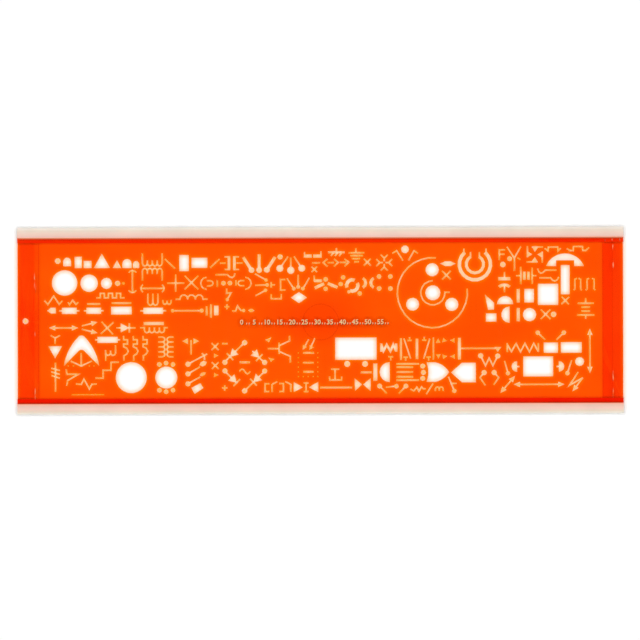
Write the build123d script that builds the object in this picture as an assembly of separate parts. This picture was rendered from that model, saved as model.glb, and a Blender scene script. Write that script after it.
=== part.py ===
from build123d import *
from math import acos, ceil, cos, pi, radians, sin
import os

# Circuit-symbol drafting stencil: a tinted plate with the symbols cut through it, two guide
# rails that hold it clear of the paper, and two strips that stiffen its ends.
# Millimetres and degrees. X runs along the stencil, Y across it, Z up from the paper.

# Plate, and the drawing grid on which every cut-out is laid out from the lower left corner
plate_length = 240.0
plate_thickness = 0.9
corner_cut = 0.4
grid_columns_share = 605
grid_rows_share = 166
grid_pitch = plate_length / grid_columns_share
plate_width = grid_rows_share * grid_pitch

# Slots of the drawn lines
slot_width = 0.6
bold_slot_width = 0.85
broad_slot_width = 1.15
ring_slot_width = 1.35

# How far the chords of a small round shape may lie inside its true arc
chord_depth = 0.085

# Guide rails: each has a tongue under the plate's edge and a shoulder beside it
guide_width = 4.2
tongue_width = 2.0
tongue_thickness = 0.9
shoulder_drop = 0.15
shoulder_gap = 0.05
rail_overhang = 0.2
rail_bevel = 0.5
rail_under_bevel = 0.3

# End strips: each is bonded under an end of the plate, between the two tongues
left_strip_width = 8.5
right_strip_width = 8.2
left_strip_taper = 1.8
right_strip_taper = 1.0
strip_end_gap = 0.1

# Hanging hole, through the plate and the left strip
hanging_hole_diameter = 2.3
hanging_hole_inset = 3.1

# Small shapes inside the symbols, in grid pitches
arrow_head_length_share = 6.4
arrow_head_half_share = 2.7
bow_radius_share = 4.3
bow_half_angle = 60
diode_half_base_share = 4.6
diode_half_bar_share = 4.8
spindle_shoulder_share = 0.32
dart_length_share = 4.4
dart_half_share = 2.3
tee_half_bar_share = 2.2
tee_stem_share = 3.3
pin_hole_share = 1.2
fork_tip_share = 8.0
fork_half_share = 3.6
fork_joint_share = 4.4
fork_foot_share = 1.4

# Places of the symbols, in grid pitches: column, row, then the sizes that each heading names

# Round windows: column, row, diameter
round_windows_shares = [
    (47.0, 121.1, 25.3),
    (71.5, 120.8, 17.3),
    (113.4, 26.4, 30.8),
    (148.4, 26.4, 21.8),
]

# Smaller round windows and dots: column, row, diameter
dots_shares = [
    (40.2, 143.0, 5.9),
    (88.8, 120.6, 11.2),
    (99.9, 120.6, 5.4),
    (105.9, 120.6, 3.0),
    (141.5, 39.5, 4.8),
    (148.2, 40.9, 4.8),
    (155.1, 39.5, 4.8),
    (141.5, 13.7, 4.8),
    (148.2, 12.2, 4.8),
    (155.1, 13.7, 4.8),
    (183.9, 93.2, 4.3),
    (209.4, 104.1, 3.6),
    (225.8, 93.2, 3.6),
    (205.7, 120.5, 4.8),
    (212.2, 120.6, 4.8),
    (262.4, 146.7, 5.5),
    (307.9, 124.1, 4.7),
    (307.9, 114.7, 4.5),
    (325.3, 126.0, 4.6),
    (322.9, 119.4, 4.6),
    (341.9, 109.9, 4.5),
    (331.0, 111.6, 3.6),
    (361.2, 126.8, 4.8),
    (372.5, 126.8, 4.8),
    (361.3, 114.9, 4.8),
    (372.6, 114.8, 4.8),
    (387.2, 153.9, 7.9),
    (414.3, 133.5, 13.2),
    (414.9, 110.4, 15.0),
    (394.7, 99.0, 12.9),
    (433.8, 98.8, 13.2),
    (484.9, 138.5, 5.7),
    (491.7, 144.3, 5.0),
    (511.5, 88.4, 13.3),
    (535.5, 88.6, 5.7),
    (226.7, 61.0, 5.5),
    (207.0, 41.4, 5.4),
    (246.7, 41.3, 5.4),
    (207.0, 32.9, 5.3),
    (246.7, 32.7, 5.3),
    (226.6, 12.8, 5.5),
    (329.2, 39.5, 6.1),
    (347.1, 39.5, 6.0),
    (404.6, 37.2, 5.2),
    (405.3, 30.9, 5.2),
    (404.6, 24.9, 5.1),
    (462.6, 47.4, 5.4),
    (479.6, 47.1, 5.4),
    (466.0, 30.6, 5.4),
    (476.0, 30.6, 5.4),
    (561.4, 41.4, 9.0),
]

# Square windows and bars: column, row, width, height
square_windows_shares = [
    (60.7, 141.6, 7.1, 11.3),
    (70.0, 139.5, 7.7, 7.2),
    (166.4, 140.7, 9.4, 16.1),
    (181.8, 140.9, 15.8, 10.0),
    (76.0, 100.1, 13.2, 1.8),
    (103.8, 100.9, 19.8, 1.8),
    (103.7, 93.4, 20.6, 7.8),
    (136.0, 80.4, 20.2, 3.0),
    (70.0, 9.4, 32.6, 1.0),
    (188.9, 92.9, 1.8, 9.4),
    (193.2, 92.8, 1.9, 13.5),
    (198.5, 93.3, 4.4, 9.6),
    (211.3, 140.5, 2.6, 14.0),
    (216.7, 140.5, 2.6, 14.0),
    (290.1, 147.4, 7.8, 3.2),
    (299.7, 147.4, 8.4, 3.2),
    (318.6, 151.1, 16.6, 2.0),
    (300.1, 122.7, 7.7, 2.8),
    (547.2, 123.2, 8.7, 29.2),
    (506.3, 127.3, 2.6, 8.0),
    (510.5, 127.3, 2.5, 8.0),
    (486.4, 124.3, 12.0, 3.2),
    (530.0, 108.6, 20.3, 21.1),
    (511.1, 107.3, 9.4, 13.5),
    (500.2, 107.3, 3.1, 13.6),
    (500.2, 88.4, 3.1, 13.3),
    (473.1, 85.6, 10.5, 8.2),
    (567.7, 99.6, 16.2, 1.6),
    (567.6, 95.7, 8.6, 1.6),
    (567.6, 91.8, 8.6, 1.6),
    (567.7, 87.9, 17.4, 1.6),
    (206.9, 60.1, 5.8, 1.7),
    (226.9, 41.4, 10.6, 2.0),
    (290.5, 50.7, 11.0, 1.8),
    (290.3, 40.9, 11.0, 1.7),
    (290.5, 31.8, 10.4, 1.9),
    (337.9, 54.8, 41.2, 22.2),
    (348.2, 31.1, 10.8, 2.0),
    (357.3, 31.3, 3.8, 17.2),
    (318.0, 16.0, 31.9, 1.8),
    (389.6, 39.5, 22.7, 1.7),
    (386.7, 36.2, 16.8, 1.7),
    (386.7, 31.4, 16.6, 1.7),
    (386.7, 26.6, 16.8, 1.7),
    (389.6, 23.2, 22.7, 1.7),
    (382.9, 54.3, 2.0, 21.8),
    (398.9, 54.4, 2.6, 20.6),
    (441.3, 54.5, 3.0, 21.6),
    (532.7, 55.3, 14.2, 10.2),
    (553.1, 55.5, 20.8, 10.5),
    (520.0, 36.6, 29.8, 20.0),
]

# Arched windows: column of the middle, row of the sill, width, height
arched_windows_shares = [
    (49.6, 137.8, 7.9, 8.7),
    (109.4, 135.9, 9.2, 9.1),
    (118.5, 135.9, 6.2, 7.0),
]

# Half discs: column and row of the flat side's middle, radius, direction that the round side faces
half_discs_shares = [
    (487.1, 98.9, 8.1, 90),
    (491.5, 88.4, 8.2, 180),
    (371.6, 31.3, 10.0, 180),
    (498.9, 36.6, 5.4, 180),
    (540.6, 36.6, 5.4, 0),
]

# Straight-sided panes: the corners of each
panes_shares = [
    [(84.2, 150.3), (92.5, 135.9), (76.3, 135.9)],
    [(99.4, 143.8), (103.6, 135.9), (95.1, 135.9)],
    [(29.4, 93.4), (33.2, 96.4), (38.2, 96.4), (38.2, 90.7), (33.2, 90.7)],
    [(30.7, 57.9), (44.3, 57.9), (37.4, 45.9)],
    [(173.4, 16.0), (182.4, 20.6), (185.4, 15.9), (176.7, 9.9)],
    [(164.5, 62.7), (170.1, 65.6), (170.1, 59.8)],
    [(181.2, 62.7), (175.6, 65.6), (175.6, 59.8)],
    [(272.9, 106.0), (281.1, 111.5), (289.2, 106.0), (281.1, 100.5)],
    [(466.8, 108.6), (476.0, 100.4), (476.0, 93.5), (470.1, 93.3)],
    [(275.7, 21.6), (284.8, 16.3), (275.7, 11.4)],
    [(300.2, 21.8), (290.9, 16.3), (300.2, 11.4)],
    [(336.6, 25.1), (336.9, 12.6), (343.9, 19.0)],
    [(352.6, 25.3), (352.4, 12.4), (345.1, 19.0)],
    [(432.9, 30.8), (443.8, 40.4), (457.6, 40.4), (457.6, 20.9), (443.8, 20.9)],
    [(476.3, 56.0), (483.2, 56.0), (479.6, 51.3)],
    [(247.4, 63.8), (253.8, 66.7), (250.9, 61.3)],
    [(250.4, 46.0), (256.6, 44.7), (253.0, 41.8)],
]

# Tapered bodies: column, row, length, width, angle
spindles_shares = [
    (233.4, 93.2, 6.2, 3.2, 0),
    (430.0, 139.5, 15.6, 4.6, 0),
    (185.2, 40.2, 8.2, 4.6, 24),
    (184.9, 29.7, 7.0, 3.2, 26),
]

# Resistor boxes: column, row, body length, body height, length over the leads
resistors_shares = [
    (51.6, 93.3, 14.8, 6.2, 20.4),
    (76.0, 93.3, 14.6, 6.2, 20.0),
    (135.5, 93.1, 19.6, 6.2, 26.2),
    (89.8, 64.2, 20.2, 6.0, 25.0),
]

# Diodes: column and row of the tip, direction, length, lead behind the tip, lead ahead of it
diodes_shares = [
    (111.6, 76.1, 0, 8.7, 13.1, 6.3),
    (212.1, 47.1, 224, 7.6, 20.1, 7.7),
    (241.3, 46.0, 316, 7.6, 9.6, 7.2),
    (218.7, 21.1, 316, 7.6, 16.6, 0.9),
    (235.5, 21.5, 224, 7.6, 15.8, 12.4),
]

# Fine lines: the places that each slot runs through
fine_lines_shares = [
    [(147.2, 144.9), (157.4, 135.2)],
    [(26.8, 103.6), (30.3, 99.7), (36.0, 108.0), (41.6, 99.8), (44.9, 103.5)],
    [(50.3, 101.9), (51.9, 99.5), (55.1, 103.8), (58.3, 99.6), (60.6, 101.9)],
    [(33.0, 68.8), (37.4, 66.0), (42.3, 68.8)],
    [(37.4, 66.4), (37.4, 60.3)],
    [(63.4, 51.2), (63.4, 38.4)],
    [(53.1, 42.9), (63.4, 38.1), (74.0, 43.1)],
    [(37.7, 41.6), (37.7, 12.2)],
    [(33.4, 35.9), (42.0, 33.7)],
    [(33.4, 32.3), (42.0, 29.8)],
    [(33.6, 28.7), (42.0, 25.9)],
    [(48.5, 34.9), (49.0, 30.0), (60.3, 29.8), (49.8, 23.6), (49.1, 18.3)],
    [(57.9, 20.2), (63.4, 19.8), (66.1, 25.0), (71.5, 15.2), (74.0, 19.8), (79.0, 20.1)],
    [(77.5, 25.9), (85.3, 25.9), (85.3, 33.8), (93.2, 33.8), (93.2, 41.8), (101.2, 41.8)],
    [(173.2, 63.8), (173.2, 49.2)],
    [(183.9, 50.6), (187.1, 47.4)],
    [(186.6, 47.8), (186.6, 43.8)],
    [(192.5, 136.0), (201.8, 144.6)],
    [(202.4, 140.6), (208.1, 140.6)],
    [(219.0, 140.6), (224.8, 140.6)],
    [(206.7, 146.8), (212.0, 146.8)],
    [(206.7, 134.2), (212.0, 134.2)],
    [(216.0, 146.8), (221.4, 146.8)],
    [(216.0, 134.2), (221.4, 134.2)],
    [(197.8, 129.0), (209.8, 129.0), (211.9, 126.8), (214.4, 126.1), (216.4, 127.6), (217.4, 130.4)],
    [(189.1, 123.0), (192.8, 123.0)],
    [(189.1, 117.9), (192.8, 117.9)],
    [(199.6, 123.5), (199.6, 116.8)],
    [(218.2, 123.5), (218.2, 118.0)],
    [(226.7, 123.0), (222.7, 123.0)],
    [(226.7, 118.0), (222.7, 118.0)],
    [(208.9, 115.3), (208.9, 110.5), (213.3, 110.8), (209.5, 104.4)],
    [(214.2, 92.8), (217.9, 92.8), (219.6, 97.7), (223.2, 93.2), (226.0, 93.2)],
    [(253.4, 121.5), (253.4, 115.8)],
    [(253.0, 118.7), (257.2, 118.7)],
    [(267.6, 124.0), (262.8, 124.0), (262.8, 113.5), (267.6, 113.5)],
    [(253.4, 109.6), (253.4, 104.9), (263.4, 104.9), (263.4, 109.6)],
    [(286.8, 151.5), (286.8, 146.0)],
    [(303.2, 152.3), (303.2, 146.0)],
    [(318.7, 151.0), (318.7, 155.4)],
    [(315.7, 150.6), (313.0, 147.4)],
    [(319.9, 150.6), (317.2, 147.4)],
    [(324.1, 150.6), (321.4, 147.4)],
    [(294.3, 140.6), (302.2, 140.6)],
    [(309.8, 144.6), (305.4, 140.8), (309.8, 136.9)],
    [(310.0, 140.8), (316.1, 140.8)],
    [(316.2, 144.6), (320.3, 140.9), (316.2, 136.9)],
    [(322.1, 141.0), (328.5, 141.0)],
    [(326.6, 144.6), (331.0, 141.2), (326.8, 137.1)],
    [(338.1, 155.3), (338.1, 150.6)],
    [(330.7, 150.6), (346.6, 150.6)],
    [(332.5, 147.7), (345.2, 147.7)],
    [(334.0, 144.7), (342.3, 144.7)],
    [(336.3, 141.6), (341.2, 141.6)],
    [(374.4, 149.8), (378.8, 152.6), (385.2, 142.7)],
    [(400.1, 149.9), (396.2, 152.4), (390.6, 142.9)],
    [(296.5, 127.9), (296.5, 122.0)],
    [(426.2, 110.9), (431.8, 110.9)],
    [(446.0, 154.6), (446.0, 149.4)],
    [(468.2, 154.6), (468.2, 149.4)],
    [(452.6, 151.1), (452.6, 145.6)],
    [(461.5, 151.1), (461.5, 145.6)],
    [(487.2, 153.1), (481.4, 153.1), (481.4, 142.9)],
    [(481.4, 148.8), (486.9, 148.8)],
    [(489.0, 156.2), (496.4, 145.0), (503.0, 156.4)],
    [(496.5, 145.8), (496.5, 132.0)],
    [(499.6, 145.2), (502.5, 143.3)],
    [(526.8, 154.6), (530.1, 152.0), (530.4, 155.8), (539.8, 155.8), (540.1, 152.0), (542.8, 154.6)],
    [(549.0, 154.5), (551.6, 152.4), (555.3, 152.2), (555.5, 156.3), (564.5, 156.3), (564.8, 152.4),
     (567.6, 152.1), (571.2, 155.5)],
    [(498.0, 127.3), (502.6, 127.3)],
    [(502.8, 136.3), (502.8, 118.9)],
    [(514.2, 135.4), (514.2, 118.9)],
    [(514.4, 127.3), (518.4, 127.3)],
    [(486.5, 131.2), (486.5, 125.0)],
    [(486.5, 117.5), (486.5, 110.8)],
    [(519.6, 134.3), (520.9, 131.2), (523.0, 129.7), (525.2, 130.5), (527.3, 132.8), (538.6, 132.8)],
    [(521.3, 125.1), (532.8, 125.1), (534.6, 122.6), (537.0, 121.9), (539.3, 123.3), (540.7, 126.0)],
    [(559.0, 124.5), (556.8, 123.6), (556.8, 113.8), (555.6, 112.6)],
    [(560.4, 124.5), (562.6, 123.6), (562.6, 113.8), (563.8, 112.6)],
    [(571.2, 124.5), (569.0, 123.6), (569.0, 113.8), (567.8, 112.6)],
    [(573.8, 124.5), (576.0, 123.6), (576.0, 113.8), (577.2, 112.6)],
    [(567.6, 104.8), (567.6, 99.0)],
    [(567.6, 88.5), (567.6, 84.2)],
    [(249.8, 55.0), (261.2, 55.0)],
    [(261.2, 61.2), (261.2, 49.6)],
    [(261.4, 58.0), (271.6, 62.8), (271.6, 68.0)],
    [(261.4, 52.0), (272.4, 47.2), (272.4, 41.1)],
    [(251.4, 19.9), (247.1, 19.9), (247.1, 12.2), (251.4, 12.2)],
    [(259.2, 22.1), (254.1, 19.2), (254.1, 11.7)],
    [(261.2, 20.1), (265.4, 20.1), (265.4, 12.2), (261.2, 12.2)],
    [(267.4, 22.1), (272.8, 19.2), (272.8, 11.7)],
    [(288.0, 20.6), (288.0, 12.0)],
    [(285.6, 20.6), (290.5, 20.6)],
    [(285.6, 12.0), (290.5, 12.0)],
    [(312.9, 34.3), (321.3, 34.3)],
    [(317.0, 34.3), (317.0, 23.8)],
    [(311.6, 27.0), (311.6, 23.6), (323.5, 23.6), (323.5, 27.0)],
    [(370.3, 46.6), (375.1, 46.6)],
    [(372.7, 46.6), (372.7, 43.0)],
    [(385.9, 64.9), (392.6, 44.6)],
    [(411.7, 64.5), (405.6, 44.5)],
    [(415.3, 65.7), (415.3, 43.6)],
    [(442.0, 54.8), (479.0, 54.8)],
    [(462.6, 47.4), (467.3, 37.6), (471.0, 45.0), (474.7, 37.6), (479.6, 47.1)],
    [(466.0, 30.6), (461.8, 25.5), (467.2, 17.8)],
    [(476.0, 30.6), (480.6, 25.5), (475.4, 18.3)],
    [(489.1, 60.1), (489.1, 51.0)],
    [(488.8, 59.2), (493.3, 51.6), (497.9, 59.4), (502.4, 51.3), (506.8, 59.6), (511.3, 51.2),
     (515.6, 59.6), (520.0, 51.6)],
    [(520.2, 60.1), (520.2, 51.0)],
    [(498.9, 36.5), (501.4, 36.5)],
    [(538.2, 36.5), (540.6, 36.5)],
    [(560.0, 30.9), (551.2, 17.7), (564.4, 25.1)],
    [(392.3, 14.5), (395.5, 12.4), (398.7, 16.1), (400.8, 12.2), (403.5, 16.5), (405.1, 14.5),
     (407.7, 14.5)],
    [(415.0, 19.8), (408.1, 9.2)],
    [(433.6, 19.8), (438.6, 19.8)],
]

# Broad lines: the places that each slot runs through
broad_lines_shares = [
    [(296.9, 115.4), (306.2, 119.8)],
    [(310.0, 120.1), (319.6, 115.9)],
]

# Bold lines: the places that each slot runs through
bold_lines_shares = [
    [(363.2, 51.7), (363.2, 59.9)],
    [(363.3, 59.2), (365.4, 52.4), (368.7, 58.6), (372.4, 52.2), (375.2, 58.8), (378.0, 52.2)],
    [(378.2, 59.9), (378.2, 51.7)],
]

# Fine arcs: column and row of the centre, radius, first angle, sweep
fine_arcs_shares = [
    (414.4, 110.5, 35.0, 84, 282.8),
    (414.9, 110.4, 12.1, 90, 272),
    (189.0, 120.4, 6.0, 92, 176),
    (192.7, 120.45, 2.55, -90, 180),
    (222.8, 120.5, 2.5, 90, 180),
    (227.3, 120.4, 6.0, -88, 176),
]

# Broad arcs: column and row of the centre, radius, first angle, sweep
broad_arcs_shares = [
    (457.0, 138.8, 8.7, 118, 304),
    (342.5, 120.5, 5.3, -62, 124),
    (358.2, 120.5, 5.3, 118, 124),
    (486.4, 109.9, 8.3, 50, 80),
]

# Ring arcs, the broadest: column and row of the centre, radius, first angle, sweep
ring_arcs_shares = [
    (457.0, 138.8, 15.6, 130, 280),
    (334.4, 117.9, 5.7, 66, 135),
    (334.4, 117.9, 5.7, -114, 140),
]

# Switches: column, row and diameter of the contact, column and row of the blade's tip
switches_shares = [
    (262.1, 135.2, 7.1, 270.4, 147.1),
    (273.0, 133.2, 7.3, 273.0, 145.8),
    (284.0, 135.3, 7.1, 276.2, 147.1),
    (248.3, 123.6, 3.7, 237.3, 129.8),
    (249.3, 118.7, 3.8, 237.3, 118.4),
    (247.7, 113.3, 3.8, 237.8, 107.9),
    (276.0, 114.9, 4.0, 269.1, 125.3),
    (280.4, 116.7, 4.0, 280.4, 128.8),
    (285.1, 114.9, 4.0, 291.6, 125.7),
    (170.1, 39.7, 5.4, 189.4, 50.0),
    (170.1, 30.0, 5.4, 182.0, 36.9),
    (170.1, 20.1, 5.3, 182.2, 26.9),
    (154.8, 93.1, 3.6, 183.8, 93.1),
    (361.5, 17.4, 5.0, 368.7, 10.0),
    (378.3, 17.2, 4.6, 367.8, 16.2),
    (387.8, 17.3, 5.0, 380.6, 9.9),
    (436.2, 12.4, 4.4, 430.3, 26.5),
    (519.6, 70.3, 4.6, 527.0, 63.2),
    (545.7, 70.3, 4.6, 538.3, 63.2),
    (489.8, 29.8, 4.4, 486.4, 42.3),
    (549.2, 29.8, 4.6, 553.4, 42.8),
]

# Broad switches: as the switches, with a broad blade
broad_switches_shares = [
    (233.8, 133.5, 5.7, 225.5, 146.4),
    (241.4, 133.5, 5.8, 241.4, 149.3),
    (249.1, 133.8, 6.0, 257.4, 146.5),
]

# Arrows with one head: column and row of the tail, then of the tip
arrows_shares = [
    (64.0, 78.2, 79.9, 81.9),
    (64.0, 74.8, 79.9, 71.0),
    (564.6, 25.2, 554.2, 11.6),
]

# Arrows with two heads: column and row of one tip, then of the other
double_arrows_shares = [
    (31.2, 76.2, 60.5, 76.2),
    (571.7, 29.7, 571.7, 74.3),
    (495.4, 18.7, 546.3, 18.7),
    (482.1, 10.1, 496.9, 27.2),
]

# Lines with bowed ends: column, row, half length, angle
bowed_lines_shares = [
    (114.8, 122.4, 11.0, 90),
    (134.8, 115.5, 11.6, 0),
]

# Crosses: column, row, half length of an arm, angle
crosses_shares = [
    (158.0, 120.7, 8.7, 0),
    (173.8, 121.2, 9.7, 45),
    (89.5, 76.0, 8.6, 42),
    (296.5, 134.1, 3.9, 45),
    (349.5, 141.2, 5.0, 45),
    (428.5, 128.0, 6.2, 45),
    (527.5, 88.7, 6.9, 45),
    (547.2, 102.4, 5.4, 43),
    (197.2, 57.2, 5.0, 45),
    (197.3, 38.2, 4.9, 45),
    (206.8, 15.9, 2.7, 0),
    (209.2, 97.0, 2.5, 0),
]

# Small triangles: column, row, direction that the tip points
darts_shares = [
    (198.3, 48.2, 0),
    (198.3, 28.8, 0),
    (420.1, 62.7, 90),
    (426.8, 62.8, 350),
    (434.2, 62.8, 180),
    (420.3, 46.7, 270),
    (427.0, 46.8, 10),
    (434.4, 46.7, 180),
    (285.8, 55.8, 240),
    (292.6, 55.4, 240),
]

# Small slanted tails of two of the triangles
dart_tails_shares = [
    [(290.8, 64.0), (286.4, 56.6)],
    [(297.0, 65.4), (293.0, 56.4)],
]

# Tee marks: column, row, direction of the stem
tees_shares = [
    (391.6, 62.9, 90),
    (406.2, 63.1, 90),
    (387.6, 46.1, 270),
    (410.5, 46.1, 270),
]

# Windings: column of the first stem, row of the bends' centres, turns, direction of the bends,
# pitch, length of the outer stems, length of the inner stems
windings_shares = [
    (124.8, 140.4, 4, 270, 4.93, 10.2, 3.2),
    (124.8, 133.0, 4, 90, 4.93, 9.8, 3.2),
    (130.2, 101.2, 2, 270, 5.0, 9.2, 9.2),
    (145.2, 101.6, 2, 270, 4.1, 2.4, 1.6),
    (162.2, 105.0, 3, 90, 7.7, 0.6, 0.6),
    (126.6, 73.7, 4, 270, 5.0, 2.6, 2.9),
    (87.9, 51.1, 2, 270, 4.9, 3.0, 2.4),
    (417.2, 14.4, 2, 90, 3.9, 2.2, 1.6),
]

# Windings that stand on end: as the windings, from the lowest stem up
standing_windings_shares = [
    (144.6, 47.1, 4, 0, 4.93, 4.2, 4.2),
    (151.6, 47.1, 4, 180, 4.93, 4.2, 4.2),
]

# Leads of the windings
winding_leads_shares = [
    [(157.8, 104.6), (162.8, 104.6)],
    [(184.7, 104.6), (190.0, 104.6)],
    [(122.2, 76.2), (127.4, 76.2)],
    [(145.8, 76.2), (150.1, 76.2)],
    [(87.9, 53.6), (87.9, 43.0)],
    [(97.7, 50.6), (97.7, 58.7)],
]

# Damped wave: one slot, repeated along the row
wave_shares = [
    (105.8, 68.1), (105.8, 64.2), (109.7, 64.2), (109.7, 59.9), (105.8, 59.9), (105.8, 57.3),
    (108.9, 55.7), (110.4, 52.8), (108.9, 50.0), (106.1, 48.2), (106.1, 43.4),
]
wave_count = 3
wave_step_share = 9.75

# Pulse train: first column, rows of its foot and top, count, step and width of the pulses
pulse_start_share = 78.6
pulse_foot_share = 106.2
pulse_top_share = 110.6
pulse_count = 3
pulse_step_share = 8.1
pulse_lead_share = 4.0
pulse_width_share = 4.1

# Tilde: column and row of its middle, length, height above and below, number of its chords
tilde_column_share = 226.8
tilde_row_share = 32.3
tilde_length_share = 10.8
tilde_rise_share = 2.4
tilde_chords = 8

# Pinwheel: its middle, then the corners of one vane and the ends of its bar, about that middle
pinwheel_column_share = 516.9
pinwheel_row_share = 148.5
pinwheel_vane_shares = [(-3.4, -7.3), (2.9, -7.7), (0.0, -2.5)]
pinwheel_bar_shares = [(-8.3, -7.4), (2.9, -7.4)]

# Forked cross: its middle
forks_column_share = 366.4
forks_row_share = 140.7

# Rows of pin holes: first column, first row, steps along and up, count
pin_rows_shares = [
    (280.4, 27.0, 0.0, 4.74, 6),
    (299.8, 27.0, 0.0, 4.74, 6),
    (285.3, 27.0, 4.9, 0.0, 3),
    (50.4, 38.2, 5.2, 0.0, 2),
    (71.6, 38.2, 4.6, 0.0, 2),
]

# Swept wing: half width at its tips, rows of its tips and noses, and a place on each flank
wing_column_share = 63.7
wing_tip_shares = (17.7, 38.0)
wing_outer_flank_shares = (11.9, 55.2)
wing_outer_shoulder_shares = (3.0, 67.3)
wing_outer_nose_share = 68.6
wing_inner_flank_shares = (8.6, 47.4)
wing_inner_shoulder_shares = (2.6, 53.4)
wing_inner_nose_share = 54.4

# Hooded arch: outer feet, crown and inner legs
hood_left_foot_shares = (528.1, 136.9)
hood_crown_shares = (547.1, 149.4)
hood_right_foot_shares = (565.9, 136.9)
hood_inner_shares = [(556.1, 136.9), (556.1, 142.6), (538.0, 142.6), (538.0, 136.9)]

# Gate: back corners, dent of the back, shoulders, bends and tip
gate_back_shares = [(408.5, 21.5), (408.5, 40.9)]
gate_dent_shares = (410.3, 31.2)
gate_shoulder_shares = [(417.3, 40.9), (417.3, 21.5)]
gate_bend_shares = [(424.9, 37.6), (424.9, 24.8)]
gate_tip_shares = (430.9, 31.2)


def spot(column, row):
    """Place on the plate, in millimetres, of a point of the drawing grid."""
    x = (column - grid_columns_share / 2) * grid_pitch
    y = (row - grid_rows_share / 2) * grid_pitch
    return Vector(x, y)


def turned(column, row, angle, offsets):
    """Places about a symbol's own middle, turned and moved onto the plate."""
    middle = spot(column, row)
    return [middle + (Vector(*offset) * grid_pitch).rotate(Axis.Z, angle) for offset in offsets]


def pane(places):
    """Straight-sided opening through the given places."""
    return make_face(Polyline(*places, close=True))


def side_offset(before, after, width):
    """Step from a bend of a slot to its left corner."""
    normal_before = before.rotate(Axis.Z, 90)
    normal_after = after.rotate(Axis.Z, 90)
    return (normal_before + normal_after) * (width / 2 / (1 + normal_before.dot(normal_after)))


def slot(places, width):
    """Slot of even width along a run of places, with mitred bends and square ends."""
    runs = [(end - start).normalized() for start, end in zip(places, places[1:])]
    bends = zip(runs[:1] + runs, runs + runs[-1:])
    steps = [side_offset(before, after, width) for before, after in bends]
    left_side = [place + step for place, step in zip(places, steps)]
    right_side = [place - step for place, step in zip(places, steps)]
    return pane(left_side + right_side[::-1])


def lines(tables, width):
    """One slot for each run of grid places in a table."""
    return [slot([spot(*place) for place in table], width) for table in tables]


def chord_count(radius, sweep):
    """Fewest chords that follow an arc closely enough."""
    return ceil(radians(sweep) / (2 * acos(1 - chord_depth / radius)))


def round_places(middle, radius, first_angle, sweep, chords):
    """Places along an arc, from its first angle on."""
    angles = [radians(first_angle + sweep * index / chords) for index in range(chords + 1)]
    return [middle + Vector(radius * cos(angle), radius * sin(angle)) for angle in angles]


def arc_slot(column, row, radius, first_angle, sweep, width):
    """Slot of even width along an arc."""
    middle = spot(column, row)
    chords = chord_count(radius * grid_pitch, sweep)
    outer = round_places(middle, radius * grid_pitch + width / 2, first_angle, sweep, chords)
    inner = round_places(middle, radius * grid_pitch - width / 2, first_angle, sweep, chords)
    return pane(outer + inner[::-1])


def round_window(column, row, diameter):
    """Round opening."""
    return Pos(spot(column, row)) * Circle(diameter * grid_pitch / 2)


def dot(column, row, diameter):
    """Small round opening."""
    radius = diameter * grid_pitch / 2
    return pane(round_places(spot(column, row), radius, 0, 360, chord_count(radius, 360))[:-1])


def square_window(column, row, width, height):
    """Square-cornered opening or bar."""
    return Pos(spot(column, row)) * Rectangle(width * grid_pitch, height * grid_pitch)


def arched_window(column, sill, width, height):
    """Opening with a flat sill, upright sides and a half-round head."""
    radius = width / 2
    middle = spot(column, sill + height - radius)
    head = round_places(middle, radius * grid_pitch, 0, 180, chord_count(radius * grid_pitch, 180))
    return pane(head + [spot(column - radius, sill), spot(column + radius, sill)])


def half_disc(column, row, radius, angle):
    """Half-round opening whose round side faces the given angle."""
    chords = chord_count(radius * grid_pitch, 180)
    return pane(round_places(spot(column, row), radius * grid_pitch, angle - 90, 180, chords))


def spindle(column, row, length, width, angle):
    """Body that tapers to a point at both ends."""
    tip = length / 2
    shoulder = tip - length * spindle_shoulder_share
    side = width / 2
    upper = [(-tip, 0), (-shoulder, side), (shoulder, side)]
    lower = [(tip, 0), (shoulder, -side), (-shoulder, -side)]
    return pane(turned(column, row, angle, upper + lower))


def resistor(column, row, body_length, body_height, length):
    """Box with a short lead at each end."""
    lead = slot([spot(column - length / 2, row), spot(column + length / 2, row)], slot_width)
    return [square_window(column, row, body_length, body_height), lead]


def diode(column, row, angle, length, back_lead, front_lead):
    """Triangle with a bar across its tip and a lead along its axis."""
    triangle = [(0, 0), (-length, diode_half_base_share), (-length, -diode_half_base_share)]
    bar = [(0, -diode_half_bar_share), (0, diode_half_bar_share)]
    lead = [(-back_lead, 0), (front_lead, 0)]
    return [
        pane(turned(column, row, angle, triangle)),
        slot(turned(column, row, angle, bar), slot_width),
        slot(turned(column, row, angle, lead), slot_width),
    ]


def switch(column, row, diameter, tip_column, tip_row, width):
    """Round contact with a straight blade."""
    blade = slot([spot(column, row), spot(tip_column, tip_row)], width)
    return [dot(column, row, diameter), blade]


def arrow_head(tip, along):
    """Triangle that ends an arrow at its tip, pointing along a direction."""
    back = tip - along * (arrow_head_length_share * grid_pitch)
    side = along.rotate(Axis.Z, 90) * (arrow_head_half_share * grid_pitch)
    return pane([tip, back + side, back - side])


def arrow(tail_column, tail_row, tip_column, tip_row, heads):
    """Straight slot with a head at its tip, or at both ends."""
    tail = spot(tail_column, tail_row)
    tip = spot(tip_column, tip_row)
    along = (tip - tail).normalized()
    inset = along * (arrow_head_length_share * grid_pitch / 2)
    cut = [arrow_head(tip, along)]
    if heads == 2:
        cut.append(arrow_head(tail, -along))
        tail += inset
    return cut + [slot([tail, tip - inset], slot_width)]


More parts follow.
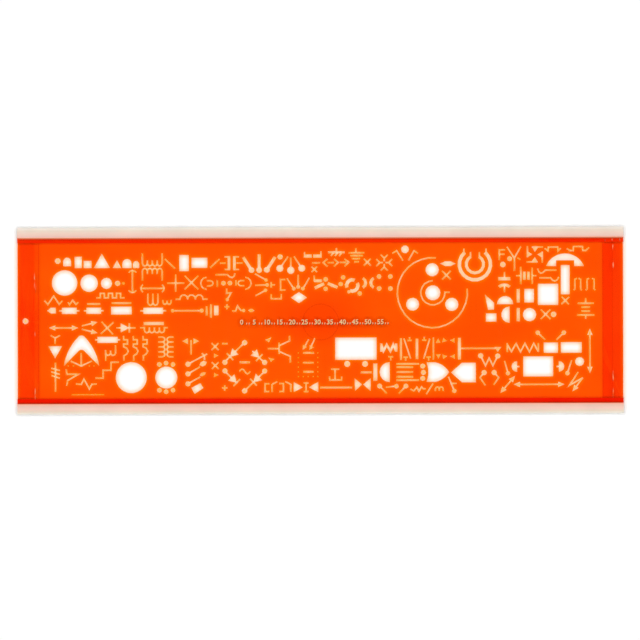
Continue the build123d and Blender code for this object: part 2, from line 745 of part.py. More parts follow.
def bowed_line(column, row, half_length, angle):
    """Straight slot that ends in a bow at each end."""
    stem = slot(turned(column, row, angle, [(-half_length, 0), (half_length, 0)]), slot_width)
    cut = [stem]
    for end_angle in (angle, angle + 180):
        reach = Vector(half_length - bow_radius_share, 0).rotate(Axis.Z, end_angle)
        middle = (column + reach.X, row + reach.Y)
        first_angle = end_angle - bow_half_angle
        cut.append(arc_slot(*middle, bow_radius_share, first_angle, 2 * bow_half_angle, slot_width))
    return cut


def cross(column, row, arm, angle):
    """Two slots that cross in their middles."""
    ends = [(-arm, 0), (arm, 0)]
    return [slot(turned(column, row, angle + turn, ends), slot_width) for turn in (0, 90)]


def dart(column, row, angle):
    """Small solid triangle."""
    tip = dart_length_share / 2
    return pane(turned(column, row, angle, [(tip, 0), (-tip, dart_half_share), (-tip, -dart_half_share)]))


def tee(column, row, angle):
    """Short bar with a stem."""
    bar = slot(turned(column, row, angle, [(0, -tee_half_bar_share), (0, tee_half_bar_share)]), slot_width)
    stem = slot(turned(column, row, angle, [(0, 0), (tee_stem_share, 0)]), slot_width)
    return [bar, stem]


def winding(column, row, turns, bend_angle, pitch, outer_stem, inner_stem, standing):
    """Row of half-round bends with a stem between each two and at both ends."""
    cut = []
    for turn in range(turns):
        along = (turn + 0.5) * pitch
        middle = (column, row + along) if standing else (column + along, row)
        cut.append(arc_slot(*middle, pitch / 2, bend_angle - 90, 180, slot_width))
    for stem in range(turns + 1):
        along = stem * pitch
        middle = (column, row + along) if standing else (column + along, row)
        length = outer_stem if stem in (0, turns) else inner_stem
        cut.append(slot(turned(*middle, bend_angle, [(0, 0), (-length, 0)]), slot_width))
    return cut


def waves():
    """Damped waves side by side."""
    cut = []
    for index in range(wave_count):
        step = index * wave_step_share
        cut.append(slot([spot(column + step, row) for column, row in wave_shares], slot_width))
    return cut


def pulse_train():
    """Square pulses along one line."""
    places = [(pulse_start_share, pulse_foot_share)]
    for index in range(pulse_count):
        rise = pulse_start_share + pulse_lead_share + index * pulse_step_share
        fall = rise + pulse_width_share
        places += [(rise, pulse_foot_share), (rise, pulse_top_share)]
        places += [(fall, pulse_top_share), (fall, pulse_foot_share)]
    places.append((fall + pulse_lead_share, pulse_foot_share))
    return lines([places], slot_width)


def tilde():
    """One full wave of a sine."""
    places = []
    for index in range(tilde_chords + 1):
        share = index / tilde_chords
        column = tilde_column_share + tilde_length_share * (share - 0.5)
        places.append((column, tilde_row_share + tilde_rise_share * sin(2 * pi * share)))
    return lines([places], slot_width)


def pinwheel():
    """Four vanes round one middle."""
    middle = (pinwheel_column_share, pinwheel_row_share)
    cut = []
    for turn in (0, 90, 180, 270):
        cut.append(pane(turned(*middle, turn, pinwheel_vane_shares)))
        cut.append(slot(turned(*middle, turn, pinwheel_bar_shares), slot_width))
    return cut


def forks():
    """Four forks that point away from one middle."""
    middle = (forks_column_share, forks_row_share)
    prongs = [(fork_tip_share, -fork_half_share), (fork_joint_share, 0), (fork_tip_share, fork_half_share)]
    stem = [(fork_foot_share, 0), (fork_joint_share, 0)]
    cut = []
    for turn in (0, 90, 180, 270):
        cut.append(slot(turned(*middle, turn, prongs), slot_width))
        cut.append(slot(turned(*middle, turn, stem), slot_width))
    return cut


def pin_holes():
    """Rows of small square punctures."""
    cut = []
    for column, row, step_along, step_up, count in pin_rows_shares:
        for index in range(count):
            place = (column + index * step_along, row + index * step_up)
            cut.append(square_window(*place, pin_hole_share, pin_hole_share))
    return cut


def mirrored(place, side):
    """Place of the swept wing on its right side, 1, or its left, -1."""
    return spot(wing_column_share + side * place[0], place[1])


def swept_wing():
    """Boomerang-shaped opening: curved flanks, a round outer nose and a round inner one."""
    left_tip = mirrored(wing_tip_shares, -1)
    right_tip = mirrored(wing_tip_shares, 1)
    outer_left = mirrored(wing_outer_shoulder_shares, -1)
    outer_right = mirrored(wing_outer_shoulder_shares, 1)
    inner_left = mirrored(wing_inner_shoulder_shares, -1)
    inner_right = mirrored(wing_inner_shoulder_shares, 1)
    return make_face([
        ThreePointArc(left_tip, mirrored(wing_outer_flank_shares, -1), outer_left),
        ThreePointArc(outer_left, spot(wing_column_share, wing_outer_nose_share), outer_right),
        ThreePointArc(outer_right, mirrored(wing_outer_flank_shares, 1), right_tip),
        ThreePointArc(right_tip, mirrored(wing_inner_flank_shares, 1), inner_right),
        ThreePointArc(inner_right, spot(wing_column_share, wing_inner_nose_share), inner_left),
        ThreePointArc(inner_left, mirrored(wing_inner_flank_shares, -1), left_tip),
    ])


def hood():
    """Arched hood over a square notch."""
    left_foot = spot(*hood_left_foot_shares)
    right_foot = spot(*hood_right_foot_shares)
    crown = ThreePointArc(left_foot, spot(*hood_crown_shares), right_foot)
    inner = [spot(*place) for place in hood_inner_shares]
    return make_face([crown, Polyline(right_foot, *inner, left_foot)])


def gate():
    """Logic gate: dented back, straight shoulders and two bends that meet in a tip."""
    low_back, high_back = [spot(*place) for place in gate_back_shares]
    high_shoulder, low_shoulder = [spot(*place) for place in gate_shoulder_shares]
    high_bend, low_bend = [spot(*place) for place in gate_bend_shares]
    tip = spot(*gate_tip_shares)
    return make_face([
        ThreePointArc(low_back, spot(*gate_dent_shares), high_back),
        Line(high_back, high_shoulder),
        ThreePointArc(high_shoulder, high_bend, tip),
        ThreePointArc(tip, low_bend, low_shoulder),
        Line(low_shoulder, low_back),
    ])


def symbol_cut_outs():
    """Every opening of the symbol field, as flat faces."""
    cut = [round_window(*row) for row in round_windows_shares]
    cut += [dot(*row) for row in dots_shares]
    cut += [square_window(*row) for row in square_windows_shares]
    cut += [arched_window(*row) for row in arched_windows_shares]
    cut += [half_disc(*row) for row in half_discs_shares]
    cut += [pane([spot(*place) for place in table]) for table in panes_shares]
    cut += [spindle(*row) for row in spindles_shares]
    cut += [dart(*row) for row in darts_shares]
    cut += [arc_slot(*row, slot_width) for row in fine_arcs_shares]
    cut += [arc_slot(*row, broad_slot_width) for row in broad_arcs_shares]
    cut += [arc_slot(*row, ring_slot_width) for row in ring_arcs_shares]
    cut += lines(fine_lines_shares, slot_width)
    cut += lines(bold_lines_shares, bold_slot_width)
    cut += lines(broad_lines_shares, broad_slot_width)
    cut += lines(dart_tails_shares, slot_width)
    cut += lines(winding_leads_shares, slot_width)
    groups = [resistor(*row) for row in resistors_shares]
    groups += [diode(*row) for row in diodes_shares]
    groups += [switch(*row, slot_width) for row in switches_shares]
    groups += [switch(*row, broad_slot_width) for row in broad_switches_shares]
    groups += [arrow(*row, 1) for row in arrows_shares]
    groups += [arrow(*row, 2) for row in double_arrows_shares]
    groups += [bowed_line(*row) for row in bowed_lines_shares]
    groups += [cross(*row) for row in crosses_shares]
    groups += [tee(*row) for row in tees_shares]
    groups += [winding(*row, False) for row in windings_shares]
    groups += [winding(*row, True) for row in standing_windings_shares]
    groups += [waves(), pulse_train(), tilde(), pinwheel(), forks(), pin_holes()]
    for group in groups:
        cut += group
    return cut + [swept_wing(), hood(), gate()]


def hanging_hole(height, base):
    """Drill for the hanging hole, from a base level up through a height."""
    x = -plate_length / 2 + hanging_hole_inset
    return Pos(x, 0, base) * extrude(Circle(hanging_hole_diameter / 2), height)


def stencil_plate():
    """Tinted plate with the symbol field cut through it."""
    outline = Rectangle(plate_length, plate_width)
    outline = chamfer(outline.vertices(), corner_cut)
    sheet = extrude(outline - symbol_cut_outs(), plate_thickness)
    return Pos(0, 0, tongue_thickness) * sheet - hanging_hole(plate_thickness, tongue_thickness)


def guide_rail():
    """Upper rail: tongue under the plate's edge, shoulder beside it and a bevelled outer edge."""
    inner_edge = plate_width / 2 - tongue_width
    shoulder = plate_width / 2 + shoulder_gap
    outer_edge = plate_width / 2 + guide_width
    top = tongue_thickness + plate_thickness - shoulder_drop
    section = Polyline(
        (inner_edge, 0),
        (outer_edge - rail_under_bevel, 0),
        (outer_edge, rail_under_bevel),
        (outer_edge, top - rail_bevel),
        (outer_edge - rail_bevel, top),
        (shoulder, top),
        (shoulder, tongue_thickness),
        (inner_edge, tongue_thickness),
        close=True,
    )
    half_length = plate_length / 2 + rail_overhang
    return Pos(-half_length, 0, 0) * extrude(Plane.YZ * make_face(section), 2 * half_length)


def end_strip(width, taper):
    """Strip under the plate's right end, thinned from below along its inner edge."""
    outer_edge = plate_length / 2
    inner_edge = outer_edge - width
    section = Polyline(
        (outer_edge, 0),
        (outer_edge, tongue_thickness),
        (inner_edge, tongue_thickness),
        (inner_edge, tongue_thickness / 2),
        (inner_edge + taper, 0),
        close=True,
    )
    half_run = plate_width / 2 - tongue_width - strip_end_gap
    return Pos(0, half_run, 0) * extrude(Plane.XZ * make_face(section), 2 * half_run)


def main():
    os.makedirs("parts", exist_ok=True)
    rail = guide_rail()
    parts = {
        "stencil_plate": stencil_plate(),
        "upper_rail": rail,
        "lower_rail": mirror(rail, Plane.XZ),
        "left_end_strip": mirror(end_strip(left_strip_width, left_strip_taper), Plane.YZ)
        - hanging_hole(tongue_thickness, 0),
        "right_end_strip": end_strip(right_strip_width, right_strip_taper),
    }
    for name, solid in parts.items():
        export_step(solid, f"parts/{name}.step")


main()
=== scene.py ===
from math import atan, pi, radians

import bpy
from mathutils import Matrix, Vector


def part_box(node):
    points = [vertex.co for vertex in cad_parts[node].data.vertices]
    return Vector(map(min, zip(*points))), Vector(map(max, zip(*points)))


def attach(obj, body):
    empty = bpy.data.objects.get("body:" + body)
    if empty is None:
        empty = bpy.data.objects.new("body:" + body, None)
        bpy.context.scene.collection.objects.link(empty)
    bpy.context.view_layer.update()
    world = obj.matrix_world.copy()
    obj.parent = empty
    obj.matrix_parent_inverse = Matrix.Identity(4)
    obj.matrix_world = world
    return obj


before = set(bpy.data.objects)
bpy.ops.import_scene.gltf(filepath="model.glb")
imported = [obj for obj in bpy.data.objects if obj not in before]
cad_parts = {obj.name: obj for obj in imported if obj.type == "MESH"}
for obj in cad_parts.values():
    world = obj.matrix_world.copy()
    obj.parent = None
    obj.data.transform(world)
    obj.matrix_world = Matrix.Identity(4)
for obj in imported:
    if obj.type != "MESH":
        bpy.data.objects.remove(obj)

# Looks of the circuit-symbol drafting stencil. Metres and radians; X along it, Z up from the paper.

# The photograph: its width in pixels, the real size of one, and where the object lies in it
photo_width = 640
pixel_size = 0.00039669
middle_pixel = (320.4, 320.5)
photo_tilt = radians(0.14)

# Camera: far off and straight above
camera_distance = 2.0
sensor_width_mm = 36.0

# Floor
floor_half_size = 4.0
floor_drop = 0.00001

# Studio light: a ring of soft lamps, all alike, and a dim even world
lamp_count = 8
first_bearing = radians(22.5)
lamp_tilt = radians(38)
lamp_width = radians(12)
lamp_strength = 0.475
world_grey = 0.08

# Colours, linear: what one face of each dyed plastic lets through, and the solid ones
plate_tint = (0.998, 0.549, 0.06, 1)
plate_tint_deep = (0.995, 0.526, 0.05, 1)
glue_tint = (1.0, 0.90, 0.86, 1)
wall_glow = (1.0, 0.36, 0.03, 1)
# Pale veil colour: bond streaks, the paler long edges and a painted sheen
painted_sheen_and_bond_veil = (1.0, 0.42, 0.20, 1)
filling_pale = (0.95, 0.58, 0.26)
# Dark painted shadow of the engraved marks, set below the filling and shifted
engraving_painted_shadow = (0.20, 0.06, 0.01)
white = (1, 1, 1, 1)
floor_white = (0.98, 0.98, 0.98, 1)

# Tint of the end strips from the inner edge to the outer end: place and what one face lets through
left_strip_bands = [
    (0.0, (0.97, 0.74, 0.70, 1)),
    (0.03, (0.97, 0.74, 0.70, 1)),
    (0.055, (1.0, 0.88, 0.83, 1)),
    (0.18, (1.0, 0.87, 0.82, 1)),
    (0.26, (1.0, 0.775, 0.72, 1)),
]
right_strip_bands = [
    (0.0, (0.97, 0.70, 0.66, 1)),
    (0.03, (0.97, 0.70, 0.66, 1)),
    (0.06, (1.0, 0.76, 0.70, 1)),
    (0.46, (1.0, 0.76, 0.70, 1)),
    (0.475, (0.97, 0.72, 0.66, 1)),
    (0.50, (0.97, 0.72, 0.66, 1)),
    (0.53, (1.0, 0.80, 0.75, 1)),
]

# Rail colours from the plate's edge outwards: place across the shoulder and colour, and under the plate.
# Cream with painted light: a painted pink glow from the dyed plate near its edge, paler at the outer edge
upper_rail_colour_and_painted_light = [
    (0.0, (0.99, 0.55, 0.44, 1)),
    (0.1, (0.875, 0.58, 0.50, 1)),
    (0.47, (0.89, 0.675, 0.56, 1)),
    (0.66, (0.85, 0.71, 0.59, 1)),
    (0.88, (0.90, 0.81, 0.72, 1)),
    (1.0, (1.0, 0.93, 0.85, 1)),
]
lower_rail_colour_and_painted_light = [
    (0.0, (0.99, 0.47, 0.34, 1)),
    (0.1, (0.98, 0.53, 0.40, 1)),
    (0.2, (0.86, 0.575, 0.47, 1)),
    (0.45, (0.94, 0.63, 0.54, 1)),
    (0.75, (0.84, 0.70, 0.56, 1)),
    (0.9, (0.92, 0.85, 0.74, 1)),
    (1.0, (1.0, 0.95, 0.88, 1)),
]
# Under the plate: dye-stained glue darkened by painted shade, the shade deeper on the lower rail
upper_rail_stain_and_painted_shade = (0.93, 0.165, 0.06, 1)
lower_rail_stain_and_painted_shade = (0.87, 0.078, 0.03, 1)
under_plate_fade = 0.0001

# Painted shade, a darker tint along the plate's long edges: share of the band from the edge, and what one
# face keeps
edge_band = 0.0032
upper_edge_painted_shade = [
    (0.0, (1.0, 1.0, 1.0, 1)),
    (0.15, (0.91, 0.97, 1.0, 1)),
    (0.25, (0.91, 0.97, 1.0, 1)),
    (0.32, (1.0, 0.98, 1.0, 1)),
    (0.65, (1.0, 1.0, 1.0, 1)),
]
lower_edge_painted_shade = [
    (0.0, (0.88, 0.98, 1.0, 1)),
    (0.16, (0.90, 0.90, 1.0, 1)),
    (0.30, (1.0, 0.89, 1.0, 1)),
    (0.62, (1.0, 0.93, 1.0, 1)),
    (1.0, (1.0, 1.0, 1.0, 1)),
]
# Paler veil along the plate's long edges: its width at the upper and at the lower edge, and its strength
pale_upper_edge_width = 0.0006
pale_lower_edge_width = 0.0002
pale_edge_share = 0.8

# Finish of the dyed plastic
plate_index = 1.2
strip_index = 1.08
dyed_plastic_roughness = 0.08

# A face turns from cut wall to level face as the upright part of its normal goes from one to the other
level_range = (0.3, 0.7)
wall_glow_share = 0.1
shone_through_share = 0.5
streak_strength = 0.8
streak_heart_share = 0.35
# Strength of the painted sheen, a faint pale veil on the dyed plastic
painted_sheen_strength = 0.006
glue_cloud_share = 0.12

# Finish of the rails and of the engraved marks
rail_index = 1.45
rail_scatter = 0.0012
rail_scatter_weight = 0.25
rail_scatter_shares = (1.0, 0.6, 0.45)
rail_roughness = (0.3, 0.44)
rail_mottle_shades = (0.95, 1.02)
engraving_roughness = 0.7
engraving_worn_shades = (0.85, 1.0)

# Grain of each surface: waves per metre along X, Y and Z, detail, and the stretch of noise that counts
plate_clouds = ((22, 60, 22), 4.0, 0.35, 0.65)
# Painted sheen on the sheet, in long upright streaks
plate_painted_sheen = ((260, 7, 20), 2.0, 0.5, 0.8)
plate_scuffs = ((900, 2600, 900), 6.0, 0.0, 1.0)
bond_gaps = ((1100, 420, 900), 5.0, 0.40, 0.58)
glue_clouds = ((160, 90, 160), 3.0, 0.4, 0.7)
# Painted sheen over the strips' glue
glue_painted_sheen = ((400, 160, 400), 3.0, 0.45, 0.8)
strip_pits = ((1500, 1500, 1500), 4.0, 0.0, 1.0)
rail_mottle = ((110, 160, 110), 4.0, 0.3, 0.7)
rail_lines = ((60, 2600, 2600), 3.0, 0.3, 0.7)
engraving_wear = ((2400, 2400, 2400), 4.0, 0.35, 0.65)
paper_tooth = ((900, 900, 900), 2.0, 0.0, 1.0)

# Bumps: depth and strength
plate_bump = (0.00002, 0.12)
strip_bump = (0.00002, 0.15)
rail_bump = (0.000012, 0.2)
paper_bump = (0.00001, 0.05)

# Streaks where the end strips' bond let go: middle, length and width
bond_streaks = [
    ((-0.1133, 0.0159), 0.0070, 0.0006),
    ((-0.1128, 0.0128), 0.0040, 0.0005),
    ((-0.1131, -0.0050), 0.0024, 0.0005),
    ((-0.1131, -0.0288), 0.0052, 0.0006),
    ((0.1160, 0.0288), 0.0028, 0.0006),
    ((0.1161, 0.0222), 0.0044, 0.0006),
    ((0.1160, -0.0222), 0.0046, 0.0006),
    ((0.1160, -0.0290), 0.0044, 0.0006),
    ((0.1128, 0.0318), 0.0018, 0.0005),
    ((0.1157, 0.0318), 0.0016, 0.0004),
    ((0.1187, 0.0318), 0.0018, 0.0004),
]

# Faint darker lines across the sheet: middle, length and width, and what they keep of the light
hairlines = [
    ((-0.0553, -0.0206), 0.0220, 0.0004),
    ((0.0018, -0.0200), 0.0240, 0.0004),
    ((0.0597, 0.0050), 0.0150, 0.0004),
    ((0.0617, 0.0050), 0.0150, 0.0004),
]
hairline_tint = (0.985, 0.965, 0.9, 1)

# Mark in the middle that the moulding left: a redder cloud, and a faint ring in it
cloud_middle = (-0.0005, 0.0015)
cloud_half_width = 0.025
cloud_half_height = 0.0125
cloud_heart_share = 0.2
cloud_tint = (1.0, 0.90, 0.95, 1)
ring_middle = (0.0001, -0.0006)
ring_radius = 0.0071
ring_width = 0.0007
ring_tint = (0.95, 0.91, 0.91, 1)

# Engraved scale in the middle of the plate: pale filling that stands a little proud, beside a dark painted
# shadow of the marks, shifted down and to the right
scale_start = (-0.0312, -0.0015)
scale_step = 0.001
scale_steps = 58
scale_major = 5
tick_width = 0.0003
tick_length = 0.0007
numeral_height = 0.0019
numeral_cap_share = 0.7
numeral_arc_steps = 3
stroke_swelling = 0.00005
painted_shadow_shift = 0.0002
engraving_depth = 0.00008
filling_stand = 0.00001


def new_material(name):
    """Empty node material and its node tree."""
    material = bpy.data.materials.new(name)
    material.use_nodes = True
    material.node_tree.nodes.clear()
    return material, material.node_tree


def put(tree, value, socket):
    """Set a socket to a plain value, or link another node's output to it."""
    if isinstance(value, bpy.types.NodeSocket):
        tree.links.new(value, socket)
    else:
        socket.default_value = value


def object_place(tree):
    """Place on the object, in metres."""
    return tree.nodes.new("ShaderNodeTexCoord").outputs["Object"]


def along(tree, axis, vector):
    """Part of a vector along X, Y or Z."""
    node = tree.nodes.new("ShaderNodeSeparateXYZ")
    put(tree, vector, node.inputs["Vector"])
    return node.outputs[axis]


def calculated(tree, operation, first, second=0.0):
    """Result of a math operation on one or two values."""
    node = tree.nodes.new("ShaderNodeMath")
    node.operation = operation
    put(tree, first, node.inputs[0])
    put(tree, second, node.inputs[1])
    return node.outputs["Value"]


def ranged(tree, value, low, high, to_low=0.0, to_high=1.0):
    """Value spread from one range to another, held at both ends."""
    node = tree.nodes.new("ShaderNodeMapRange")
    put(tree, value, node.inputs["Value"])
    put(tree, low, node.inputs["From Min"])
    put(tree, high, node.inputs["From Max"])
    put(tree, to_low, node.inputs["To Min"])
    put(tree, to_high, node.inputs["To Max"])
    return node.outputs["Result"]


def grain(tree, place, waves, detail, low, high):
    """Noise over the object, spread so that its stretch from low to high runs from 0 to 1."""
    mapping = tree.nodes.new("ShaderNodeMapping")
    put(tree, place, mapping.inputs["Vector"])
    put(tree, waves, mapping.inputs["Scale"])
    texture = tree.nodes.new("ShaderNodeTexNoise")
    put(tree, mapping.outputs["Vector"], texture.inputs["Vector"])
    put(tree, 1.0, texture.inputs["Scale"])
    put(tree, detail, texture.inputs["Detail"])
    return ranged(tree, texture.outputs["Fac"], low, high)


def blended(tree, factor, first, second):
    """Colour between two, by a factor."""
    node = tree.nodes.new("ShaderNodeMix")
    node.data_type = "RGBA"
    colour_inputs = [socket for socket in node.inputs if socket.type == "RGBA"]
    put(tree, factor, node.inputs["Factor"])
    put(tree, first, colour_inputs[0])
    put(tree, second, colour_inputs[1])
    return [socket for socket in node.outputs if socket.type == "RGBA"][0]


def product(tree, first, second):
    """Two colours multiplied."""
    node = tree.nodes.new("ShaderNodeVectorMath")
    node.operation = "MULTIPLY"
    put(tree, first, node.inputs[0])
    put(tree, second, node.inputs[1])
    return node.outputs["Vector"]


def shaded(tree, colour, share):
    """Colour made lighter or darker by a share."""
    node = tree.nodes.new("ShaderNodeVectorMath")
    node.operation = "SCALE"
    put(tree, colour, node.inputs[0])
    put(tree, share, node.inputs["Scale"])
    return node.outputs["Vector"]


def banded(tree, share, bands):
    """Colour that runs through a table of places and colours."""
    ramp = tree.nodes.new("ShaderNodeValToRGB")
    elements = ramp.color_ramp.elements
    while len(elements) < len(bands):
        elements.new(1.0)
    for element, (position, colour) in zip(elements, bands):
        element.position = position
        element.color = colour
    put(tree, share, ramp.inputs["Fac"])
    return ramp.outputs["Color"]


def bump(tree, height, depth, strength):
    """Bumped normal from a height."""
    node = tree.nodes.new("ShaderNodeBump")
    put(tree, height, node.inputs["Height"])
    put(tree, depth, node.inputs["Distance"])
    put(tree, strength, node.inputs["Strength"])
    return node.outputs["Normal"]


def shader(tree, kind, settings):
    """First output of a shader node, with its settings by socket name."""
    node = tree.nodes.new(kind)
    for name, value in settings.items():
        put(tree, value, node.inputs[name])
    return node.outputs[0]


def mixed(tree, share, first, second):
    """Two shaders mixed."""
    node = tree.nodes.new("ShaderNodeMixShader")
    put(tree, share, node.inputs[0])
    put(tree, first, node.inputs[1])
    put(tree, second, node.inputs[2])
    return node.outputs[0]


def show(tree, surface):
    """Make a shader the material's surface."""
    output = tree.nodes.new("ShaderNodeOutputMaterial")
    put(tree, surface, output.inputs["Surface"])


def dyed_plastic(tree, tint, veil, normal, index):
    """Clear dyed plastic: level faces pass their tint under a pale veil that also carries painted sheen, and
    outer ones mirror a little.
    """
    passed = shader(tree, "ShaderNodeBsdfTransparent", {"Color": tint})
    pale = shader(tree, "ShaderNodeBsdfDiffuse", {"Color": painted_sheen_and_bond_veil})
    undyed = shader(tree, "ShaderNodeBsdfTransparent", {"Color": white})
    lit = shader(tree, "ShaderNodeBsdfDiffuse", {"Color": wall_glow})
    shone_through = shader(tree, "ShaderNodeBsdfTranslucent", {"Color": wall_glow})
    wall = mixed(tree, wall_glow_share, undyed, mixed(tree, shone_through_share, lit, shone_through))
    geometry = tree.nodes.new("ShaderNodeNewGeometry")
    facing = calculated(tree, "ABSOLUTE", along(tree, "Z", geometry.outputs["True Normal"]))
    level = ranged(tree, facing, *level_range)
    body = mixed(tree, level, wall, mixed(tree, veil, passed, pale))
    gloss = shader(tree, "ShaderNodeBsdfGlossy", {
        "Color": white, "Roughness": dyed_plastic_roughness, "Normal": normal})
    fresnel = shader(tree, "ShaderNodeFresnel", {"IOR": index, "Normal": normal})
    mirrored = mixed(tree, fresnel, body, gloss)
    show(tree, mixed(tree, geometry.outputs["Backfacing"], mirrored, body))


def reach(tree, place, middle, half_width, half_height):
    """Distance from a middle, where one is the edge of an oval."""
    shift = tree.nodes.new("ShaderNodeMapping")
    shift.vector_type = "TEXTURE"
    put(tree, place, shift.inputs["Vector"])
    put(tree, (middle[0], middle[1], 0), shift.inputs["Location"])
    put(tree, (half_width, half_height, 1), shift.inputs["Scale"])
    distance = tree.nodes.new("ShaderNodeVectorMath")
    distance.operation = "LENGTH"
    put(tree, shift.outputs["Vector"], distance.inputs[0])
    return distance.outputs["Value"]


def streak_mask(tree, place, middle, length, width):
    """One along the heart of a thin upright streak, and nothing beyond it."""
    return ranged(tree, reach(tree, place, middle, width / 2, length / 2), 1.0, streak_heart_share)


def streak_masks(tree, place, streaks):
    """One where any streak of a table lies."""
    mask = streak_mask(tree, place, *streaks[0])
    for streak in streaks[1:]:
        mask = calculated(tree, "MAXIMUM", mask, streak_mask(tree, place, *streak))
    return mask


def moulding_mark(tree, place):
    """Tint of the redder cloud in the middle of the sheet, and of the ring in it."""
    from_middle = reach(tree, place, cloud_middle, cloud_half_width, cloud_half_height)
    cloud = ranged(tree, from_middle, 1.0, cloud_heart_share)
    outwards = reach(tree, place, ring_middle, ring_radius, ring_radius)
    off_ring = calculated(tree, "ABSOLUTE", calculated(tree, "SUBTRACT", outwards, 1.0))
    ring = ranged(tree, off_ring, ring_width / 2 / ring_radius, 0.0)
    return product(tree, blended(tree, cloud, white, cloud_tint), blended(tree, ring, white, ring_tint))


def plate_material():
    """Orange dyed sheet: clouded tint, painted shade along the long edges, scuffs, painted sheen and pale
    bond streaks.
    """
    material, tree = new_material("orange_tinted_sheet")
    place = object_place(tree)
    across = along(tree, "Y", place)
    tint = blended(tree, grain(tree, place, *plate_clouds), plate_tint, plate_tint_deep)
    tint = product(tree, tint, moulding_mark(tree, place))
    # Painted shade along both long edges
    from_upper = ranged(tree, across, plate_half_width, plate_half_width - edge_band)
    tint = product(tree, tint, banded(tree, from_upper, upper_edge_painted_shade))
    from_lower = ranged(tree, across, -plate_half_width, edge_band - plate_half_width)
    tint = product(tree, tint, banded(tree, from_lower, lower_edge_painted_shade))
    hair = streak_masks(tree, place, hairlines)
    tint = product(tree, tint, blended(tree, hair, white, hairline_tint))
    bond = streak_masks(tree, place, bond_streaks)
    ragged = calculated(tree, "MULTIPLY", bond, grain(tree, place, *bond_gaps))
    streaks = calculated(tree, "MULTIPLY", ragged, streak_strength)
    # Painted sheen: a pale veil in long upright streaks
    sheen = calculated(tree, "MULTIPLY", grain(tree, place, *plate_painted_sheen), painted_sheen_strength)
    # Paler veil along the long edges
    upper = ranged(tree, across, plate_half_width - pale_upper_edge_width, plate_half_width)
    lower = ranged(tree, across, pale_lower_edge_width - plate_half_width, -plate_half_width)
    pale_edges = calculated(tree, "MULTIPLY", calculated(tree, "MAXIMUM", upper, lower), pale_edge_share)
    veil = calculated(tree, "MAXIMUM", calculated(tree, "ADD", streaks, sheen), pale_edges)
    normal = bump(tree, grain(tree, place, *plate_scuffs), *plate_bump)
    dyed_plastic(tree, tint, veil, normal, plate_index)
    return material


def strip_material(name, bands, inner_edge, outer_end):
    """Paler dyed strip, darker in lines along its edges, with a clouded glue layer under a faint painted
    sheen.
    """
    material, tree = new_material(name)
    place = object_place(tree)
    tint = banded(tree, ranged(tree, along(tree, "X", place), inner_edge, outer_end), bands)
    cloud = calculated(tree, "MULTIPLY", grain(tree, place, *glue_clouds), glue_cloud_share)
    tint = blended(tree, cloud, tint, glue_tint)
    # Painted sheen over the glue
    veil = calculated(tree, "MULTIPLY", grain(tree, place, *glue_painted_sheen), painted_sheen_strength)
    normal = bump(tree, grain(tree, place, *strip_pits), *strip_bump)
    dyed_plastic(tree, tint, veil, normal, strip_index)
    return material


def rail_material(name, bands, stain_and_painted_shade):
    """Pale translucent rail with extrusion lines: painted pink glow from the dyed plate, greyer outwards and
    paler at the outer edge, and under the plate a dye stain darkened by painted shade.
    """
    material, tree = new_material(name)
    place = object_place(tree)
    across = calculated(tree, "ABSOLUTE", along(tree, "Y", place))
    # Painted light across the shoulder: pink glow near the plate, paler outwards
    outwards = ranged(tree, across, plate_half_width, rail_outer_edge)
    mottle = ranged(tree, grain(tree, place, *rail_mottle), 0.0, 1.0, *rail_mottle_shades)
    bare = shaded(tree, banded(tree, outwards, bands), mottle)
    # Under the plate: dye stain with painted shade
    under_plate = ranged(tree, across, plate_half_width, plate_half_width - under_plate_fade)
    lines = grain(tree, place, *rail_lines)
    show(tree, shader(tree, "ShaderNodeBsdfPrincipled", {
        "Base Color": blended(tree, under_plate, bare, stain_and_painted_shade),
        "Subsurface Weight": rail_scatter_weight,
        "Subsurface Radius": rail_scatter_shares,
        "Subsurface Scale": rail_scatter,
        "IOR": rail_index,
        "Roughness": ranged(tree, lines, 0.0, 1.0, *rail_roughness),
        "Normal": bump(tree, lines, *rail_bump),
    }))
    return material


def engraving_material(name, colour):
    """Pale filling of the engraved marks, or the dark painted shadow beside them, worn unevenly."""
    material, tree = new_material(name)
    worn = ranged(tree, grain(tree, object_place(tree), *engraving_wear), 0.0, 1.0, *engraving_worn_shades)
    show(tree, shader(tree, "ShaderNodeBsdfPrincipled", {
        "Base Color": shaded(tree, colour, worn), "Roughness": engraving_roughness}))
    return material


def floor_material():
    """Plain white paper with the faintest tooth."""
    material, tree = new_material("white_paper")
    normal = bump(tree, grain(tree, object_place(tree), *paper_tooth), *paper_bump)
    show(tree, shader(tree, "ShaderNodeBsdfDiffuse", {"Color": floor_white, "Normal": normal}))
    return material


def dress(node, material):
    """Give a carried-over node its material."""
    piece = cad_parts[node]
    piece.data.materials.clear()
    piece.data.materials.append(material)


def mesh_piece(name, vertices, faces, material):
    """New mesh object with its material."""
    mesh = bpy.data.meshes.new(name)
    mesh.from_pydata(vertices, [], faces)
    mesh.validate()
    mesh.materials.append(material)
    piece = bpy.data.objects.new(name, mesh)
    bpy.context.scene.collection.objects.link(piece)
    return piece


def tick(x, y, base):
    """Corners and faces of a short tick of the engraving's depth, from its foot upwards."""
    left = x - tick_width / 2
    right = x + tick_width / 2
    high = y + tick_length
    outline = ((left, y), (right, y), (right, high), (left, high))
    corners = [(along_x, along_y, z) for z in (base, base + engraving_depth) for along_x, along_y in outline]
    faces = [(3, 2, 1, 0), (4, 5, 6, 7), (0, 1, 5, 4), (1, 2, 6, 5), (2, 3, 7, 6), (3, 0, 4, 7)]
    return corners, faces


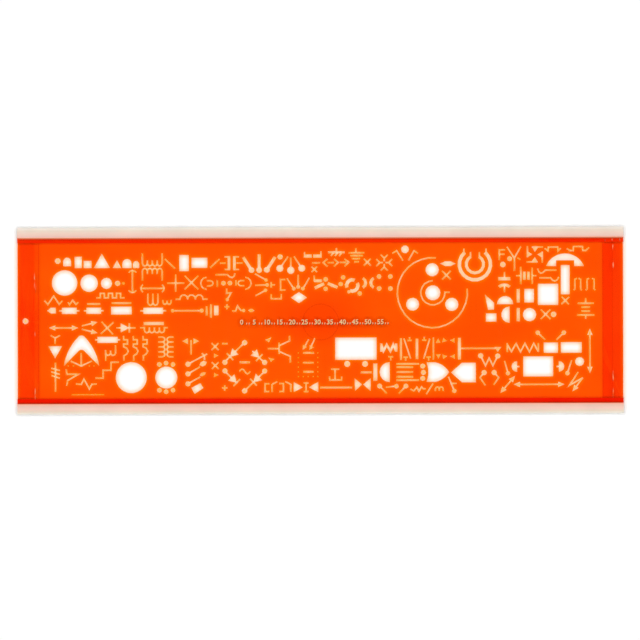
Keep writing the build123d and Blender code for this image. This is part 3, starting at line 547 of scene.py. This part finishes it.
def numeral(number, x, y, base):
    """Corners and faces of a plain number that stands at a place."""
    text = bpy.data.curves.new("numeral", "FONT")
    text.body = str(number)
    text.size = numeral_height / numeral_cap_share
    text.align_x = "CENTER"
    text.extrude = engraving_depth / 2
    text.offset = stroke_swelling
    text.resolution_u = numeral_arc_steps
    carrier = bpy.data.objects.new("numeral", text)
    bpy.context.scene.collection.objects.link(carrier)
    mesh = bpy.data.meshes.new_from_object(carrier)
    bpy.data.objects.remove(carrier)
    lift = Vector((x, y, base + engraving_depth / 2))
    corners = [tuple(vertex.co + lift) for vertex in mesh.vertices]
    faces = [tuple(face.vertices) for face in mesh.polygons]
    bpy.data.meshes.remove(mesh)
    return corners, faces


def engraved_scale(name, material, shift, base):
    """Numbers engraved into the plate's upper face and two ticks between each pair, as one piece."""
    shapes = []
    for step in range(scale_steps + 1):
        x = scale_start[0] + step * scale_step + shift
        y = scale_start[1] - shift
        past_number = step % scale_major
        if past_number == 0:
            shapes.append(numeral(step, x, y, base))
        elif 1 < past_number < scale_major - 1:
            shapes.append(tick(x, y, base))
    vertices = []
    faces = []
    for corners, sides in shapes:
        first = len(vertices)
        vertices += corners
        faces += [tuple(first + corner for corner in side) for side in sides]
    piece = mesh_piece(name, vertices, faces, material)
    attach(piece, "root")


def floor():
    """Sheet of paper under the stencil."""
    half = floor_half_size
    corners = [(-half, -half, -floor_drop), (half, -half, -floor_drop), (half, half, -floor_drop),
               (-half, half, -floor_drop)]
    mesh_piece("floor", corners, [(0, 1, 2, 3)], floor_material())


def light():
    """Soft lamps round the object, and a dim even world."""
    for index in range(lamp_count):
        lamp = bpy.data.lights.new("softbox", "SUN")
        lamp.energy = lamp_strength
        lamp.angle = lamp_width
        stand = bpy.data.objects.new("softbox", lamp)
        stand.rotation_euler = (0, lamp_tilt, first_bearing + index * 2 * pi / lamp_count)
        bpy.context.scene.collection.objects.link(stand)
    world = bpy.data.worlds.new("studio")
    world.use_nodes = True
    background = world.node_tree.nodes["Background"]
    background.inputs["Color"].default_value = white
    background.inputs["Strength"].default_value = world_grey
    bpy.context.scene.world = world


def camera():
    """Camera straight above, framed as the photograph."""
    lens = bpy.data.cameras.new("camera")
    lens.sensor_width = sensor_width_mm
    lens.angle = 2 * atan(photo_width * pixel_size / 2 / camera_distance)
    eye = bpy.data.objects.new("camera", lens)
    shift_x = (photo_width / 2 - middle_pixel[0]) * pixel_size
    shift_y = (middle_pixel[1] - photo_width / 2) * pixel_size
    eye.location = (shift_x, shift_y, camera_distance)
    eye.rotation_euler = (0, 0, -photo_tilt)
    bpy.context.scene.collection.objects.link(eye)
    bpy.context.scene.camera = eye


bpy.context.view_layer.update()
plate_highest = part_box("stencil_plate")[1]
plate_half_width = plate_highest[1]
rail_outer_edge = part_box("upper_rail")[1][1]
left_low, left_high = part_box("left_end_strip")
right_low, right_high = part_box("right_end_strip")
filling_base = plate_highest[2] + filling_stand - engraving_depth
painted_shadow_base = filling_base - engraving_depth

dress("stencil_plate", plate_material())
dress("upper_rail", rail_material("upper_cream_rail", upper_rail_colour_and_painted_light, upper_rail_stain_and_painted_shade))
dress("lower_rail", rail_material("lower_cream_rail", lower_rail_colour_and_painted_light, lower_rail_stain_and_painted_shade))
left_plastic = strip_material("left_strip_plastic", left_strip_bands, left_high[0], left_low[0])
right_plastic = strip_material("right_strip_plastic", right_strip_bands, right_low[0], right_high[0])
dress("left_end_strip", left_plastic)
dress("right_end_strip", right_plastic)
filling = engraving_material("engraved_filling", filling_pale)
# Dark shifted copy of the marks: a painted shadow
painted_shadow = engraving_material("engraved_painted_shadow", engraving_painted_shadow)
engraved_scale("engraved_filling", filling, 0.0, filling_base)
engraved_scale("engraved_painted_shadows", painted_shadow, painted_shadow_shift, painted_shadow_base)
floor()
light()
camera()

bpy.context.scene.view_settings.view_transform = "Standard"
